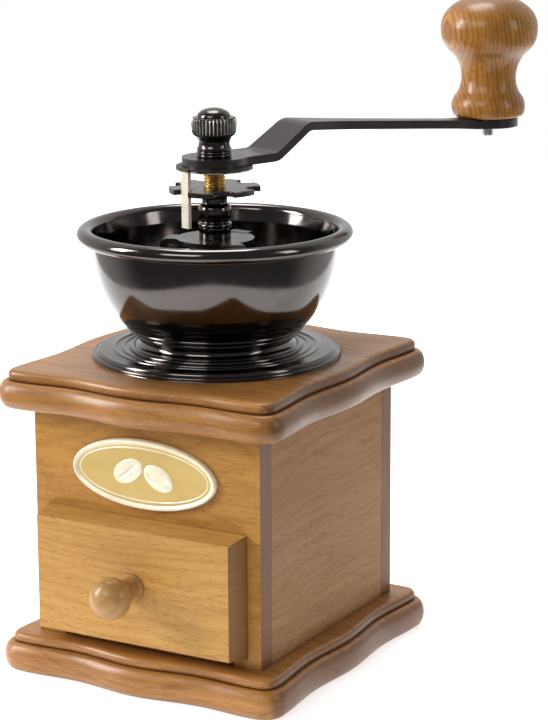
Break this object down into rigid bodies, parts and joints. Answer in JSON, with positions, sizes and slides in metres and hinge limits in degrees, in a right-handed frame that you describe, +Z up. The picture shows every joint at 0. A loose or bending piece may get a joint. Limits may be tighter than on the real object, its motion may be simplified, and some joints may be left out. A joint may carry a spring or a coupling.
{
  "type": "box coffee mill",
  "caption": "Wooden box coffee mill with an open metal hopper, a cranked burr spindle with adjusting disc, and a pull-out drawer for the grounds.",
  "frame": {"origin": "centre of the base plate's underside, on the ground, below the spindle's axis", "axes": "+Z up along the spindle, the drawer opens towards -Y, +X to the right seen from the front"},
  "size_m": [0.1298, 0.2296, 0.2377],
  "materials": {
    "stained_wood": "glossy orange-brown stain, lacquered",
    "panel_wood": "satin lacquered light beech with short dark flecks",
    "drawer_front_wood": "satin lacquered light beech",
    "plain_wood": "unfinished light beech",
    "knob_wood": "glossy lacquered wood with swirling grain",
    "drawer_knob_wood": "glossy lacquered wood",
    "gold": "satin gold-coloured pressed plate with a cream rim",
    "black_nickel": "dark mirror-polished black nickel plating",
    "gunmetal": "satin dark gunmetal plating, brushed edges",
    "bright_nickel": "bright nickel plating",
    "brass": "machined brass-coloured shaft",
    "cast_iron": "bare cast iron",
    "spring_steel": "drawn spring wire",
    "zinc_steel": "zinc-plated steel"
  },
  "bodies": {
    "case": {"base_plate": "stained_wood", "base_screws": "zinc_steel", "front_panel": "panel_wood", "back_panel": "panel_wood", "left_side_panel": "panel_wood", "right_side_panel": "panel_wood", "left_drawer_guide": "plain_wood", "right_drawer_guide": "plain_wood", "top_dowels": "plain_wood", "top_plate": "stained_wood", "badge": "gold", "hopper_foot": "black_nickel", "hopper_bowl": "black_nickel", "bearing_spider": "gunmetal", "spindle_bush": "black_nickel", "spider_bolts": "zinc_steel", "spider_nuts": "zinc_steel", "burr_housing": "cast_iron", "outer_burr": "cast_iron", "lower_bridge": "cast_iron", "lower_bridge_screws": "zinc_steel"},
    "adjuster": {"adjusting_disc": "gunmetal"},
    "spindle_set": {"spindle": "brass", "inner_burr": "cast_iron", "burr_nut": "zinc_steel", "burr_spring": "spring_steel", "lock_washer": "bright_nickel", "crank_arm": "gunmetal", "cap_nut": "black_nickel", "knob_screw": "zinc_steel"},
    "knob": {"crank_knob": "knob_wood"},
    "drawer": {"drawer_front": "drawer_front_wood", "drawer_inner_front": "plain_wood", "drawer_left_side": "plain_wood", "drawer_right_side": "plain_wood", "drawer_back": "plain_wood", "drawer_bottom": "plain_wood", "drawer_knob": "drawer_knob_wood", "drawer_knob_screw": "zinc_steel", "drawer_front_screws": "zinc_steel"}
  },
  "joints": [
    {"name": "crank_spin", "type": "hinge", "parent": "case", "child": "adjuster", "pos_m": [0, 0, 0.1765], "axis": [0, 0, 1], "continuous": true},
    {"name": "grind_adjust", "type": "slide", "parent": "adjuster", "child": "spindle_set", "axis": [0, 0, 1], "range_m": [-0.0015, 0], "deforming": ["burr_spring"]},
    {"name": "knob_spin", "type": "hinge", "parent": "spindle_set", "child": "knob", "pos_m": [0.0508, 0.12831, 0.2], "axis": [0, 0, 1], "continuous": true},
    {"name": "drawer_slide", "type": "slide", "parent": "case", "child": "drawer", "axis": [0, -1, 0], "range_m": [0, 0.08]}
  ]
}
